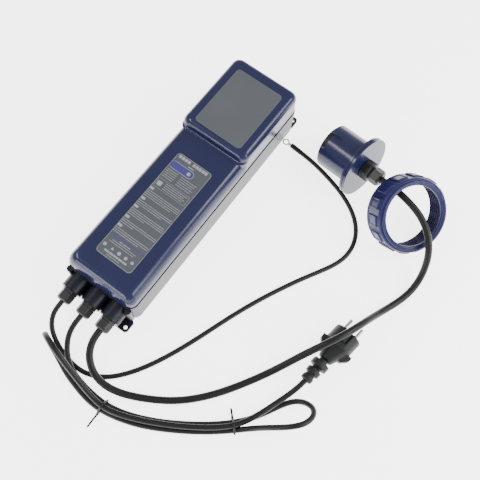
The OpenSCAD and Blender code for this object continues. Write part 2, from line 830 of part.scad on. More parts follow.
module cap_gland_body() {
    at_cap_gland() gland_body(cap_thread, cap_collar_af, cap_collar_h, cap_stub_d, cap_stub_h, cell_d);
}

module cap_gland_washer() {
    at_cap_gland() gland_washer(cap_thread);
}

module cap_gland_locknut() {
    at_cap_gland() gland_locknut(cap_thread, cap_thread + 6, cap_end_t);
}

module cap_gland_seal() {
    at_cap_gland() gland_seal(cap_stub_d, cap_stub_h, cap_nut_end, cell_d);
}

module cap_gland_nut() {
    at_cap_gland() gland_nut(cap_nut_af, cap_nut_z, cap_nut_end, cap_stub_d, cell_d);
}

// Union nut: threaded from its lower end, with a lip at its upper end
module union_nut() {
    thread_end = nut_l - lip_t;
    crest = 0.9;
    color("#1c2150") translate(nut_place) rotate([0, 0, nut_heading]) rotate([0, nut_lean, 0]) {
        rotate_extrude($fn = 120) polygon(concat(
            [[nut_bore_r + crest, 0], [nut_r - 1, 0], [nut_r + 0.5, 1.5], [nut_r + 0.5, 4], [nut_r, 4.5],
             [nut_r, nut_l - 5], [nut_r - 1, nut_l - 3.5], [nut_r - 3, nut_l - 2.5], [nut_r - 3.6, nut_l],
             [nut_r - 6.5, nut_l], [nut_r - 7, nut_l - 1], [lip_r + 1, nut_l - 1.5], [lip_r, nut_l - 2.5],
             [lip_r, thread_end], [nut_bore_r + crest, thread_end]],
            [for (k = [5 : -1 : 0]) each [[nut_bore_r + crest, 4.6 * k + 4.6], [nut_bore_r, 4.6 * k + 3.4],
                [nut_bore_r, 4.6 * k + 2.4], [nut_bore_r + crest, 4.6 * k + 1.2]]]));
        for (k = [0 : grip_count - 1]) rotate([0, 0, 360 * k / grip_count])
            intersection() {
                tube(2 * nut_outer, 2 * nut_r - 1, nut_l);
                translate([nut_r - 4, -grip_w / 2, 7]) cube([10, grip_w, nut_l - 14.5]);
            }
    }
}

// ---------------------------------------------------------------- drawing

rear_case();
front_cover();
cover_gasket();
cover_screws();
head_panel();
rating_label();
power_board();
board_screws();
transformer_core();
transformer_coil();
filter_capacitors();
heat_sink();
power_transistors();
terminal_block();
fuse_holder();
fuse();
emi_choke();
relay();
earth_stud();
inner_wires();
case_gland_body(-1, earth_d);  // earth_gland_body
case_gland_washer(-1);  // earth_gland_washer
case_gland_locknut(-1);  // earth_gland_locknut
case_gland_seal(-1, earth_d);  // earth_gland_seal
case_gland_nut(-1, earth_d);  // earth_gland_nut
case_gland_body(0, mains_d);  // mains_gland_body
case_gland_washer(0);  // mains_gland_washer
case_gland_locknut(0);  // mains_gland_locknut
case_gland_seal(0, mains_d);  // mains_gland_seal
case_gland_nut(0, mains_d);  // mains_gland_nut
case_gland_body(1, cell_d);  // cell_gland_body
case_gland_washer(1);  // cell_gland_washer
case_gland_locknut(1);  // cell_gland_locknut
case_gland_seal(1, cell_d);  // cell_gland_seal
case_gland_nut(1, cell_d);  // cell_gland_nut
earth_lead();
ring_terminal();
terminal_sleeve();
mains_lead();
cable_tie_1();
cable_tie_2();
plug_body();
plug_pins();
plug_earth_clips();
cell_lead();
cap_body();
cap_insert();
cap_contacts();
cap_wires();
cap_oring();
cap_gland_body();
cap_gland_washer();
cap_gland_locknut();
cap_gland_seal();
cap_gland_nut();
union_nut();
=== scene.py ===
# Looks of the salt chlorine generator: a navy wall box with three black leads, on a pale floor.
# Lengths in this file are in millimetres and are turned into metres where a mesh or curve is made.
import math
import random

import bmesh
import bpy
from mathutils import Matrix, Vector


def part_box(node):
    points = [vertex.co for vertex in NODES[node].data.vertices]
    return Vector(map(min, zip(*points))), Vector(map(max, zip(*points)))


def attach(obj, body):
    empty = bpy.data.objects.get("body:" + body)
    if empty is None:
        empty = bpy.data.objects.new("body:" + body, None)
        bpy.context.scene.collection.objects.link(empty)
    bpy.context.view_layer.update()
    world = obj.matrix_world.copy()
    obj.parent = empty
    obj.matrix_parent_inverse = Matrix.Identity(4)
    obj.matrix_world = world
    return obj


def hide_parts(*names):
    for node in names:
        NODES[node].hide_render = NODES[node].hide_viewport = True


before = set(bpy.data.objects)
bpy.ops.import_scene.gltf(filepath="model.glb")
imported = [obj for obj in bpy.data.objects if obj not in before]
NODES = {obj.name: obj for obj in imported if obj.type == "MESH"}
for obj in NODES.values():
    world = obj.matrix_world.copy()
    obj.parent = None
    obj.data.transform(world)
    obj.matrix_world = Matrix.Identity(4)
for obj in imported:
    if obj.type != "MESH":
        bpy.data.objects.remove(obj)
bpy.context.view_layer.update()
MM = 0.001


# ---------------------------------------------------------------- camera and light

CAMERA_PLACE = (249.2, -279.4, 849.7)
CAMERA_RIGHT = (0.808, 0.5873, 0.0478)
CAMERA_FORWARD = (-0.1647, 0.303, -0.9387)
LENS = 47.25
SENSOR_WIDTH = 36
WORLD_COLOUR = (0.97, 0.98, 1, 1)
WORLD_STRENGTH = 1.0
# Area lights: name, place, target, size and power, in metres and watts
AREA_LIGHTS = [
    ("key", (1.1, 0.7, 1.1), (0.1, 0, 0), (0.8, 0.8), 20),
    ("side window", (1.1, -0.05, 0.6), (0.05, -0.12, 0.06), (0.3, 0.6), 5),
    ("left window", (-0.72, -0.38, 1.1), (0.17, 0.18, 0.04), (0.5, 0.1), 5),
    ("end window", (-0.1, -1.2, 0.3), (0.0, -0.2, 0.06), (0.7, 0.25), 7),
]


def add_camera():
    data = bpy.data.cameras.new("camera")
    data.lens = LENS
    data.sensor_width = SENSOR_WIDTH
    camera = bpy.data.objects.new("camera", data)
    bpy.context.scene.collection.objects.link(camera)
    forward = Vector(CAMERA_FORWARD).normalized()
    right = (Vector(CAMERA_RIGHT) - forward * Vector(CAMERA_RIGHT).dot(forward)).normalized()
    up = right.cross(forward)
    turn = Matrix((right, up, -forward)).transposed().to_4x4()
    camera.matrix_world = Matrix.Translation(Vector(CAMERA_PLACE) * MM) @ turn
    bpy.context.scene.camera = camera


def add_area_light(name, place, target, size, power):
    data = bpy.data.lights.new(name, "AREA")
    data.shape = "RECTANGLE"
    data.size, data.size_y = size
    data.energy = power
    light = bpy.data.objects.new(name, data)
    light.location = place
    light.rotation_euler = (Vector(target) - Vector(place)).to_track_quat("-Z", "Y").to_euler()
    bpy.context.scene.collection.objects.link(light)


def add_light():
    world = bpy.data.worlds.new("studio")
    world.use_nodes = True
    background = world.node_tree.nodes["Background"]
    background.inputs["Color"].default_value = WORLD_COLOUR
    background.inputs["Strength"].default_value = WORLD_STRENGTH
    bpy.context.scene.world = world
    for light in AREA_LIGHTS:
        add_area_light(*light)


# ---------------------------------------------------------------- materials

# The share of a noise's range over which a plastic's two colours blend
CLOUD_LOW = 0.3
CLOUD_HIGH = 0.7
# Depth of the grain in the surface, in metres
PLASTIC_GRAIN_DEPTH = 0.0002
METAL_GRAIN_DEPTH = 0.0001
METAL_GRAIN = 900.0
METAL_BUMP = 0.05


def new_material(name):
    material = bpy.data.materials.new(name)
    material.use_nodes = True
    return material, material.node_tree, material.node_tree.nodes["Principled BSDF"]


def add_node(tree, kind, **values):
    node = tree.nodes.new(kind)
    for key, value in values.items():
        if key in node.inputs:
            node.inputs[key].default_value = value
        else:
            setattr(node, key, value)
    return node


def add_gloss(tree, shader, noise, low, high):
    """Roughness that follows a noise between two values."""
    gloss = add_node(tree, "ShaderNodeMapRange")
    gloss.inputs["To Min"].default_value = low
    gloss.inputs["To Max"].default_value = high
    tree.links.new(noise.outputs["Fac"], gloss.inputs["Value"])
    tree.links.new(gloss.outputs["Result"], shader.inputs["Roughness"])


def add_bump(tree, shader, noise, strength, depth):
    """A fine unevenness of the surface that follows a noise."""
    lumps = add_node(tree, "ShaderNodeBump", Strength=strength, Distance=depth)
    tree.links.new(noise.outputs["Fac"], lumps.inputs["Height"])
    tree.links.new(lumps.outputs["Normal"], shader.inputs["Normal"])


def plastic(name, dark, light, rough, spread, grain=1600, bump=0.04, gloss_level=0.5, speck=14):
    """Moulded plastic: a faint mottled colour, uneven gloss and a fine grain."""
    material, tree, shader = new_material(name)
    shader.inputs["Specular IOR Level"].default_value = gloss_level
    place = add_node(tree, "ShaderNodeTexCoord")
    cloud = add_node(tree, "ShaderNodeTexNoise", Scale=speck, Detail=4.0)
    tree.links.new(place.outputs["Object"], cloud.inputs["Vector"])
    ramp = add_node(tree, "ShaderNodeValToRGB")
    ramp.color_ramp.elements[0].position = CLOUD_LOW
    ramp.color_ramp.elements[0].color = (*dark, 1)
    ramp.color_ramp.elements[1].position = CLOUD_HIGH
    ramp.color_ramp.elements[1].color = (*light, 1)
    tree.links.new(cloud.outputs["Fac"], ramp.inputs["Fac"])
    tree.links.new(ramp.outputs["Color"], shader.inputs["Base Color"])
    add_gloss(tree, shader, cloud, rough - spread, rough + spread)
    fine = add_node(tree, "ShaderNodeTexNoise", Scale=grain, Detail=3.0)
    tree.links.new(place.outputs["Object"], fine.inputs["Vector"])
    add_bump(tree, shader, fine, bump, PLASTIC_GRAIN_DEPTH)
    return material


def metal(name, colour, rough, brushed=(1, 1, 1)):
    """Plated or turned metal, with fine drawn lines across the stretched direction."""
    material, tree, shader = new_material(name)
    shader.inputs["Base Color"].default_value = (*colour, 1)
    shader.inputs["Metallic"].default_value = 1
    place = add_node(tree, "ShaderNodeTexCoord")
    stretch = add_node(tree, "ShaderNodeMapping")
    stretch.inputs["Scale"].default_value = brushed
    lines = add_node(tree, "ShaderNodeTexNoise", Scale=METAL_GRAIN, Detail=4.0)
    tree.links.new(place.outputs["Object"], stretch.inputs["Vector"])
    tree.links.new(stretch.outputs["Vector"], lines.inputs["Vector"])
    add_gloss(tree, shader, lines, rough * 0.7, rough * 1.3)
    add_bump(tree, shader, lines, METAL_BUMP, METAL_GRAIN_DEPTH)
    return material


NAVY = plastic("navy gloss", (0.0075, 0.0092, 0.042), (0.0092, 0.0112, 0.050),
               rough=0.22, spread=0.02, grain=900, bump=0.015, gloss_level=0.35)
NUT_NAVY = plastic("navy nylon", (0.0130, 0.0130, 0.062), (0.0165, 0.0165, 0.074),
                   rough=0.34, spread=0.03, grain=900, bump=0.03, gloss_level=0.22)
# The bore has the nut's own nylon made darker: painted shade inside the bore. Its higher roughness and
# lower gloss are the surface's own.
NUT_BORE_SHADE = plastic("matt navy nylon with painted shade", (0.0080, 0.0080, 0.040), (0.0105, 0.0105, 0.050),
                   rough=0.60, spread=0.04, grain=900, bump=0.05, gloss_level=0.12)
CASE = plastic("dark gloss case", (0.0048, 0.0052, 0.0110), (0.0064, 0.0070, 0.0145),
               rough=0.36, spread=0.04, grain=900, bump=0.03, gloss_level=0.22)
PANEL = plastic("grey panel", (0.060, 0.066, 0.073), (0.068, 0.074, 0.082),
                rough=0.50, spread=0.05, grain=2600, bump=0.12, gloss_level=0.4)
LABEL = plastic("grey label", (0.055, 0.060, 0.069), (0.061, 0.067, 0.076),
                rough=0.42, spread=0.05, grain=1800, bump=0.05, gloss_level=0.4)
PRINT_LIGHT = plastic("light print", (0.24, 0.25, 0.26), (0.28, 0.29, 0.30),
                      rough=0.5, spread=0.05)
PRINT_PURPLE = plastic("purple print", (0.032, 0.026, 0.15), (0.038, 0.031, 0.17),
                       rough=0.4, spread=0.05)
GLAND = plastic("black nylon", (0.0055, 0.0055, 0.0060), (0.0085, 0.0085, 0.0095),
                rough=0.40, spread=0.05, grain=1400, bump=0.1, gloss_level=0.4)
LEAD = plastic("lead sheath", (0.0050, 0.0048, 0.0048), (0.0078, 0.0075, 0.0074),
               rough=0.42, spread=0.05, grain=900, bump=0.1, gloss_level=0.25, speck=30)
PLUG = plastic("plug rubber", (0.0075, 0.0078, 0.0086), (0.0110, 0.0114, 0.0124),
               rough=0.50, spread=0.06, grain=1100, bump=0.2, gloss_level=0.25)
INSERT = plastic("socket insert", (0.0055, 0.0055, 0.0060), (0.0080, 0.0080, 0.0085),
                 rough=0.45, spread=0.05, grain=1200, bump=0.1, gloss_level=0.3)
TIE = plastic("tie sheath", (0.0035, 0.0035, 0.0035), (0.0055, 0.0055, 0.0055),
              rough=0.40, spread=0.05, grain=1500, bump=0.1, gloss_level=0.3)
RUBBER = plastic("seal rubber", (0.006, 0.006, 0.006), (0.009, 0.009, 0.009),
                 rough=0.6, spread=0.06)
STEEL = metal("bright steel", (0.78, 0.78, 0.80), 0.22)
NICKEL = metal("nickel plate", (0.42, 0.41, 0.42), 0.22)
CLIP = metal("dull spring steel", (0.045, 0.045, 0.047), 0.40)
BRASS = metal("brass", (0.80, 0.62, 0.30), 0.25)
SINK = metal("aluminium", (0.75, 0.76, 0.78), 0.35, (1, 0.05, 1))
LAMINATION = metal("core steel", (0.35, 0.35, 0.37), 0.45, (1, 1, 12))
COPPER = plastic("coil wrap", (0.45, 0.24, 0.05), (0.55, 0.30, 0.07),
                 rough=0.35, spread=0.05)
BOARD = plastic("circuit board", (0.012, 0.10, 0.04), (0.02, 0.14, 0.06),
                rough=0.35, spread=0.05)
SLEEVE_DARK = plastic("capacitor sleeve", (0.02, 0.02, 0.03), (0.03, 0.03, 0.04),
                      rough=0.3, spread=0.05)
GREEN = plastic("terminal green", (0.05, 0.20, 0.08), (0.07, 0.25, 0.10),
                rough=0.4, spread=0.05)
BLUE = plastic("relay blue", (0.03, 0.09, 0.30), (0.04, 0.11, 0.35),
               rough=0.35, spread=0.05)
FERRITE = plastic("choke winding", (0.30, 0.14, 0.04), (0.40, 0.20, 0.06),
                  rough=0.35, spread=0.05)
WIRE = plastic("wire sheath", (0.35, 0.03, 0.02), (0.42, 0.04, 0.03),
               rough=0.35, spread=0.05)
FUSE_GLASS, _, fuse_shader = new_material("fuse glass")
fuse_shader.inputs["Transmission Weight"].default_value = 0.9
fuse_shader.inputs["Roughness"].default_value = 0.08

GLANDS = ("earth", "mains", "cell", "cap")
FINISHES = {
    NAVY: ["front_cover", "cap_body", "union_nut"],
    CASE: ["rear_case"],
    PANEL: ["head_panel"],
    LABEL: ["rating_label"],
    RUBBER: ["cover_gasket", "cap_oring"]
            + [g + "_gland_" + k for g in GLANDS for k in ("washer", "seal")],
    GLAND: [g + "_gland_" + k for g in GLANDS for k in ("body", "locknut", "nut")],
    INSERT: ["cap_insert"],
    LEAD: ["earth_lead", "mains_lead", "cell_lead", "terminal_sleeve"],
    TIE: ["cable_tie_1", "cable_tie_2"],
    PLUG: ["plug_body"],
    STEEL: ["cover_screws", "board_screws", "ring_terminal"],
    NICKEL: ["plug_pins", "cap_contacts"],
    CLIP: ["plug_earth_clips"],
    BRASS: ["earth_stud"],
    SINK: ["heat_sink"],
    LAMINATION: ["transformer_core"],
    COPPER: ["transformer_coil"],
    BOARD: ["power_board"],
    SLEEVE_DARK: ["filter_capacitors", "power_transistors", "fuse_holder"],
    GREEN: ["terminal_block"],
    BLUE: ["relay"],
    FERRITE: ["emi_choke"],
    WIRE: ["inner_wires", "cap_wires"],
    FUSE_GLASS: ["fuse"],
}


def dress(thing, material):
    thing.data.materials.clear()
    thing.data.materials.append(material)


for finish, names in FINISHES.items():
    for name in names:
        dress(NODES[name], finish)


# ---------------------------------------------------------------- mesh helpers

def smooth(thing, angle=35):
    """Smooth shading, with edges sharper than the angle kept as edges."""
    thing.data.shade_smooth()
    thing.data.set_sharp_from_angle(angle=math.radians(angle))


def apply_modifiers(thing):
    graph = bpy.context.evaluated_depsgraph_get()
    shape = bpy.data.meshes.new_from_object(thing.evaluated_get(graph))
    thing.modifiers.clear()
    thing.data = shape


def mesh_object(name, vertices, faces, material):
    """A new object from points in millimetres."""
    shape = bpy.data.meshes.new(name)
    shape.from_pydata([Vector(v) * MM for v in vertices], [], faces)
    shape.validate()
    shape.materials.append(material)
    thing = bpy.data.objects.new(name, shape)
    bpy.context.scene.collection.objects.link(thing)
    return thing


def stand_for(thing, node, body):
    """The piece moves with a body and hides a CAD node."""
    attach(thing, body)
    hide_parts(node)


def copy_of(node, name, material):
    """A new object with a copy of a CAD node's mesh."""
    thing = bpy.data.objects.new(name, NODES[node].data.copy())
    bpy.context.scene.collection.objects.link(thing)
    dress(thing, material)
    return thing


def add_remesh(thing, voxel):
    """Rebuilds a mesh from small cells, which fuses its parts and evens its faces."""
    remesh = thing.modifiers.new("remesh", "REMESH")
    remesh.mode = "VOXEL"
    remesh.voxel_size = voxel


# A polished copy's settings: the gap that is welded, in metres, and angles in degrees
WELD_GAP = 0.000002
FLAT_ANGLE = 0.5
BEVEL_ANGLE = 40
POLISH_SHARP = 50


def polish(node, material, width, segments=2):
    """A copy of a CAD node with its sharp edges rounded a little; it stands for the node."""
    thing = copy_of(node, node + "_shape", material)
    work = bmesh.new()
    work.from_mesh(thing.data)
    bmesh.ops.remove_doubles(work, verts=work.verts, dist=WELD_GAP)
    bmesh.ops.dissolve_limit(work, angle_limit=math.radians(FLAT_ANGLE), verts=work.verts,
                             edges=work.edges)
    work.to_mesh(thing.data)
    work.free()
    bevel = thing.modifiers.new("bevel", "BEVEL")
    bevel.width = width * MM
    bevel.segments = segments
    bevel.limit_method = "ANGLE"
    bevel.angle_limit = math.radians(BEVEL_ANGLE)
    bevel.use_clamp_overlap = True
    smooth(thing, POLISH_SHARP)
    thing.modifiers.new("normals", "WEIGHTED_NORMAL").keep_sharp = True
    apply_modifiers(thing)
    stand_for(thing, node, "root")


def ring(half_x, low_y, high_y, radius, z, steps=10):
    """Points of a rounded rectangle at one height, counter-clockwise."""
    centres = ((half_x - radius, high_y - radius), (radius - half_x, high_y - radius),
               (radius - half_x, low_y + radius), (half_x - radius, low_y + radius))
    points = []
    for quarter, (x, y) in enumerate(centres):
        for k in range(steps + 1):
            turn = math.radians(90 * (quarter + k / steps))
            points.append((x + radius * math.cos(turn), y + radius * math.sin(turn), z))
    return points


def loft(name, rings, material):
    """A closed solid through rings of equally many points."""
    count = len(rings[0])
    faces = [tuple(reversed(range(count)))]
    for i in range(len(rings) - 1):
        for k in range(count):
            a = i * count + k
            b = i * count + (k + 1) % count
            faces.append((a, b, b + count, a + count))
    faces.append(tuple(range((len(rings) - 1) * count, len(rings) * count)))
    return mesh_object(name, [p for r in rings for p in r], faces, material)


def combine(thing, other, operation):
    """A boolean of two solids; the second one is used up."""
    step = thing.modifiers.new("combine", "BOOLEAN")
    step.operation = operation
    step.solver = "EXACT"
    step.object = other
    apply_modifiers(thing)
    bpy.data.objects.remove(other)


# ---------------------------------------------------------------- front cover

SEAM_Z = 50
FRONT_Z = 75
HEAD_Z = 90
COVER_HALF = 55.5
COVER_LOW_Y = -185
COVER_HIGH_Y = 196
HEAD_LOW_Y = 60
COVER_CORNER = 12
EDGE_REACH = 12
HEAD_EDGE_REACH = 9
EDGE_DROP = 22
HEAD_EDGE_DROP = 10.5
COVE = 4
DRAFT = 0.03
COVER_WALL = 3
FOOT_CHAMFER = 0.6
# Small steps that keep faces of two solids out of one plane when they are joined or cut
HEAD_PROUD = 0.03
HOLLOW_STEP = 0.05
CUT_OVERSHOOT = 1
# The head panel's pocket
PANEL_GAP = 0.35
PANEL_POCKET_CORNER = 6.3
PANEL_SINK = 0.8
COVER_SHARP = 32


def draft_ring(half_x, low_y, high_y, corner, z, inset=0.0):
    """A ring of the cover, which narrows as it rises so that it leaves its mould."""
    inset += DRAFT * max(0, z - SEAM_Z)
    return ring(half_x - inset, low_y + inset, high_y - inset, corner - 0.4 * inset, z)


def soft_rings(half_x, low_y, high_y, corner, top_z, reach, drop, steps=12):
    """Rings over a softly rounded top edge, which reaches inwards less than it drops."""
    rings = []
    for k in range(steps + 1):
        turn = math.pi / 2 * k / steps
        rings.append(draft_ring(half_x, low_y, high_y, corner, top_z - drop + drop * math.sin(turn),
                                reach * (1 - math.cos(turn))))
    return rings


def cove_rings(half_x, steps=6):
    """Rings at the head's foot, where a hollow curve runs into the lower part of the cover."""
    rings = [draft_ring(half_x, HEAD_LOW_Y - COVE, COVER_HIGH_Y, COVER_CORNER, SEAM_Z + 5)]
    for k in range(steps + 1):
        turn = math.pi / 2 * k / steps
        low_y = HEAD_LOW_Y - COVE * (1 - math.sin(turn))
        rings.append(draft_ring(half_x, low_y, COVER_HIGH_Y, COVER_CORNER,
                                FRONT_Z + COVE * (1 - math.cos(turn))))
    return rings


def add_cover():
    foot = [ring(COVER_HALF - FOOT_CHAMFER, COVER_LOW_Y + FOOT_CHAMFER, COVER_HIGH_Y - FOOT_CHAMFER,
                 COVER_CORNER - FOOT_CHAMFER, SEAM_Z),
            ring(COVER_HALF, COVER_LOW_Y, COVER_HIGH_Y, COVER_CORNER, SEAM_Z + FOOT_CHAMFER)]
    cover = loft("cover_shape", foot + soft_rings(COVER_HALF, COVER_LOW_Y, COVER_HIGH_Y, COVER_CORNER,
                                                  FRONT_Z, EDGE_REACH, EDGE_DROP), NAVY)
    side = COVER_HALF + HEAD_PROUD
    head_rings = soft_rings(side, HEAD_LOW_Y, COVER_HIGH_Y + HEAD_PROUD, COVER_CORNER,
                            HEAD_Z, HEAD_EDGE_REACH, HEAD_EDGE_DROP)
    head = loft("head", cove_rings(side) + head_rings, NAVY)
    combine(cover, head, "UNION")
    inner = COVER_HALF - COVER_WALL
    low_y = COVER_LOW_Y + COVER_WALL
    high_y = COVER_HIGH_Y - COVER_WALL
    corner = COVER_CORNER - COVER_WALL
    rim = ring(inner, low_y, high_y, corner, SEAM_Z - CUT_OVERSHOOT)
    hollow = loft("hollow", [rim] + soft_rings(inner, low_y, high_y, corner, FRONT_Z - COVER_WALL,
                                               EDGE_REACH - COVER_WALL, EDGE_DROP - COVER_WALL), NAVY)
    rim = ring(inner - HOLLOW_STEP, HEAD_LOW_Y + COVER_WALL, high_y - HOLLOW_STEP, corner,
               SEAM_Z + CUT_OVERSHOOT)
    upper_rings = soft_rings(inner - HOLLOW_STEP, HEAD_LOW_Y + COVER_WALL, high_y - HOLLOW_STEP, corner,
                             HEAD_Z - COVER_WALL, HEAD_EDGE_REACH - COVER_WALL,
                             HEAD_EDGE_DROP - COVER_WALL)
    upper = loft("upper", [rim] + upper_rings, NAVY)
    combine(hollow, upper, "UNION")
    combine(cover, hollow, "DIFFERENCE")
    low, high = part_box("head_panel")
    half_x = high[0] / MM + PANEL_GAP
    pocket = loft("pocket", [ring(half_x, low[1] / MM - PANEL_GAP, high[1] / MM + PANEL_GAP,
                                  PANEL_POCKET_CORNER, z)
                             for z in (HEAD_Z - PANEL_SINK, HEAD_Z + CUT_OVERSHOOT)], NAVY)
    combine(cover, pocket, "DIFFERENCE")
    smooth(cover, COVER_SHARP)
    cover.modifiers.new("normals", "WEIGHTED_NORMAL").keep_sharp = True
    apply_modifiers(cover)
    stand_for(cover, "front_cover", "root")


# ---------------------------------------------------------------- print on the label

LABEL_TOP = 75.4
PRINT_H = 0.05
# Second and third prints lie on the first, each this much higher
PURPLE_LIFT = 0.03
MARK_LIFT = 0.05
PRINT_SEED = 7
TEXT_GAP = 0.7
LINE_STEP = 2.9
# Left edges of the wide blocks in the heading
HEADING_X = (-25, -20, -15, -10, -1.5, 3.5, 8.5, 13.5, 18.5)
# Top and number of rows of each paragraph
PARAGRAPHS = ((-38.6, 4), (-57, 3), (-71.6, 4), (-89.8, 3), (-105, 3))
# Middle and number of sides of each small plain shape in the bottom row
BOTTOM_SHAPES = ((-23.5, 6), (-11, 3), (0, 8), (11, 5), (21.5, 4))


def block(x0, x1, y0, y1, radius=0.0, steps=1):
    """Outline of a printed block; with no radius, its plain corners."""
    if radius == 0:
        return [(x1, y1, 0), (x0, y1, 0), (x0, y0, 0), (x1, y0, 0)]
    half_x = (x1 - x0) / 2
    return [(x + (x0 + x1) / 2, y, 0) for x, y, _ in ring(half_x, y0, y1, radius, 0, steps)]


def many_sided(x, y, radius, sides):
    """Outline of a small regular shape with one corner at its top."""
    return [(x + radius * math.cos(math.radians(90 + 360 * k / sides)),
             y + radius * math.sin(math.radians(90 + 360 * k / sides)), 0) for k in range(sides)]


def print_mesh(name, outlines, material, z=LABEL_TOP):
    """Thin closed plates, one for each outline."""
    vertices = []
    faces = []
    for outline in outlines:
        first = len(vertices)
        count = len(outline)
        vertices += [(x, y, z) for x, y, _ in outline]
        vertices += [(x, y, z + PRINT_H) for x, y, _ in outline]
        faces.append(tuple(first + k for k in reversed(range(count))))
        faces.append(tuple(first + count + k for k in range(count)))
        for k in range(count):
            a = first + k
            b = first + (k + 1) % count
            faces.append((a, b, b + count, a + count))
    thing = mesh_object(name, vertices, faces, material)
    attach(thing, "root")


def frame_bars(x0, x1, y0, y1, line, radius, steps=4):
    """A printed line round a rounded rectangle, as short pieces side by side."""
    outer = block(x0, x1, y0, y1, radius, steps)
    inner = block(x0 + line, x1 - line, y0 + line, y1 - line, radius - line, steps)
    count = len(outer)
    return [[outer[k], outer[(k + 1) % count], inner[(k + 1) % count], inner[k]] for k in range(count)]


def text_row(chance, x0, x1, y, height=0.75, long=4.5):
    """A row of short bars that stands for a line of small print."""
    bars = []
    x = x0
    while x < x1 - 1:
        end = min(x1, x + chance.uniform(1.2, long))
        bars.append(block(x, end, y - height, y))
        x = end + TEXT_GAP
    return bars


def add_print():
    chance = random.Random(PRINT_SEED)
    light = frame_bars(-28.4, 28.4, -151.9, 23.9, 0.35, 5)
    light += [block(x, x + 4, 17.6, 22, 0.8, 3) for x in HEADING_X]
    light += text_row(chance, -5, 4.5, 14.6, 1.6, 3)
    light.append(block(-28.2, 9.6, -0.9, 10.9, 5.8, 8))
    for row in range(5):
        light += text_row(chance, -26, -9, -4 - 3.2 * row)
        light += text_row(chance, -3, 23 - 2 * (row % 3), -4 - 3.2 * row)
    light += frame_bars(-26.5, 25, -36, -21.5, 0.3, 1)
    light.append(block(-24.5, -17.5, -32.3, -25.3, 1.2, 3))
    for row in range(4):
        light += text_row(chance, -13, 22 - 3 * (row % 2), -24 - LINE_STEP * row)
    for top, rows in PARAGRAPHS:
        light.append(block(-28, -21.5, top - 3.6, top, 1, 3))
        for row in range(rows):
            end = 26.5 if row < rows - 1 else chance.uniform(-12, 20)
            light += text_row(chance, -27.5, end, top - 6 - LINE_STEP * row)
    light += text_row(chance, -9.5, 7.5, -125, 1)
    light += text_row(chance, -19, 19, -128)
    light += text_row(chance, -22, 18, -131)
    light += [many_sided(x, -138.5, 2.7, sides) for x, sides in BOTTOM_SHAPES]
    light += text_row(chance, -19, 17, -143.4, 2.4, 6)
    light += text_row(chance, -12.5, 9, -148)
    print_mesh("label_print_light", light, PRINT_LIGHT)
    purple = [block(-28.25, 9, -0.3, 10.3, 5.2, 8), block(-28.2, 28.2, -121.2, -120.5),
              block(-28.2, 28.2, -123, -122.3)]
    print_mesh("label_print_purple", purple, PRINT_PURPLE, LABEL_TOP + PURPLE_LIFT)
    print_mesh("label_print_mark", [many_sided(2, 5, 3, 6)], PRINT_LIGHT, LABEL_TOP + MARK_LIFT)


# ---------------------------------------------------------------- union nut

NUT_LEAN = 38
NUT_HEADING = -29
NUT_PLACE = (262.3, 158, 52.5 * math.sin(math.radians(NUT_LEAN)))
NUT_GRIPS = 14
# Radius and height round the nut's section, from the foot of the bore outwards, over the front
# and back down the bore
NUT_SECTION = [
    (47.4, 0.8), (48.2, 0), (52.2, 0), (53.2, 0.5), (53.9, 1.3), (53.9, 4), (53.5, 4.6), (53.5, 6.2),
    (53.5, 6.7), (53.5, 7.3), (53.5, 8.8), (53.5, 9.4), (53.5, 10), (53.5, 26), (53.5, 26.6),
    (53.5, 27.2), (53.5, 28.7), (53.5, 29.3), (53.5, 29.9), (53.5, 31.4), (53.2, 33), (52.4, 34.5),
    (51.2, 35.5), (50.3, 35.8), (49.9, 35.4), (49.5, 35.9), (49.4, 37), (49, 37.7), (48.2, 38),
    (47.3, 38), (46.6, 37.7), (46.1, 37), (45.6, 36.7), (44.4, 36.6), (43.6, 36.2), (43.1, 35.4),
    (43, 34), (43, 32.8), (43.5, 32.2), (47, 32), (47.4, 31.6), (47.4, 20), (47.4, 10)]
# Places in the section of the faces of the bore's wall, which take the darker nylon that paints the shade
# inside the bore
SHADED_BORE_ROWS = (40, 41, 42)
# How far a grip stands out along the nut, by height
GRIP_RISE = {6.7: 0.8, 7.3: 2.4, 8.8: 2.4, 9.4: 1.9, 26.6: 1.9, 27.2: 2.4, 28.7: 2.4, 29.3: 2.0, 29.9: 0.7}
# How far it stands out across its width: degrees from its middle, and the share of the rise
GRIP_SIDES = [(-12.8, 0), (-10.2, 0), (-8.5, 0), (-8.0, 0.4), (-7.6, 1), (-6.1, 1), (-5.6, 0.8),
              (-5.1, 0.6), (-2.5, 0.6), (0, 0.6), (2.5, 0.6), (5.1, 0.6), (5.6, 0.8), (6.1, 1),
              (7.6, 1), (8.0, 0.4), (8.5, 0), (10.2, 0)]
# Between these two heights a grip is a frame round a lower pad.  The section's last point is at the
# first height too, so the bore's wall has a shallow hollow behind each grip.
PAD_HEIGHTS = (10, 26)
GRIP_FRAME = 2.4
PAD_RISE = 1.4
PAD_SHARE = 0.6
NUT_SHARP = 38
THREAD_PITCH = 4.6
THREAD_TURNS = 6
THREAD_STEPS = 72
THREAD_START = 2.2
THREAD_FOOT = 47.6
THREAD_ROOT = 47.4
THREAD_RISE = 0.8
THREAD_FADE = 12
THREAD_SHARP = 40


def nut_radius(radius, height, share):
    """A grip is a raised frame: full height round its border and lower inside."""
    if height in PAD_HEIGHTS:
        return radius + (GRIP_FRAME if share == 1 else PAD_RISE * share / PAD_SHARE)
    rise = GRIP_RISE.get(height, 0)
    return radius + (rise * share if share < PAD_SHARE else rise)


def place_nut(point):
    heading = Matrix.Rotation(math.radians(NUT_HEADING), 4, "Z")
    lean = Matrix.Rotation(math.radians(NUT_LEAN), 4, "Y")
    return Matrix.Translation(Vector(NUT_PLACE)) @ (heading @ lean) @ Vector(point)


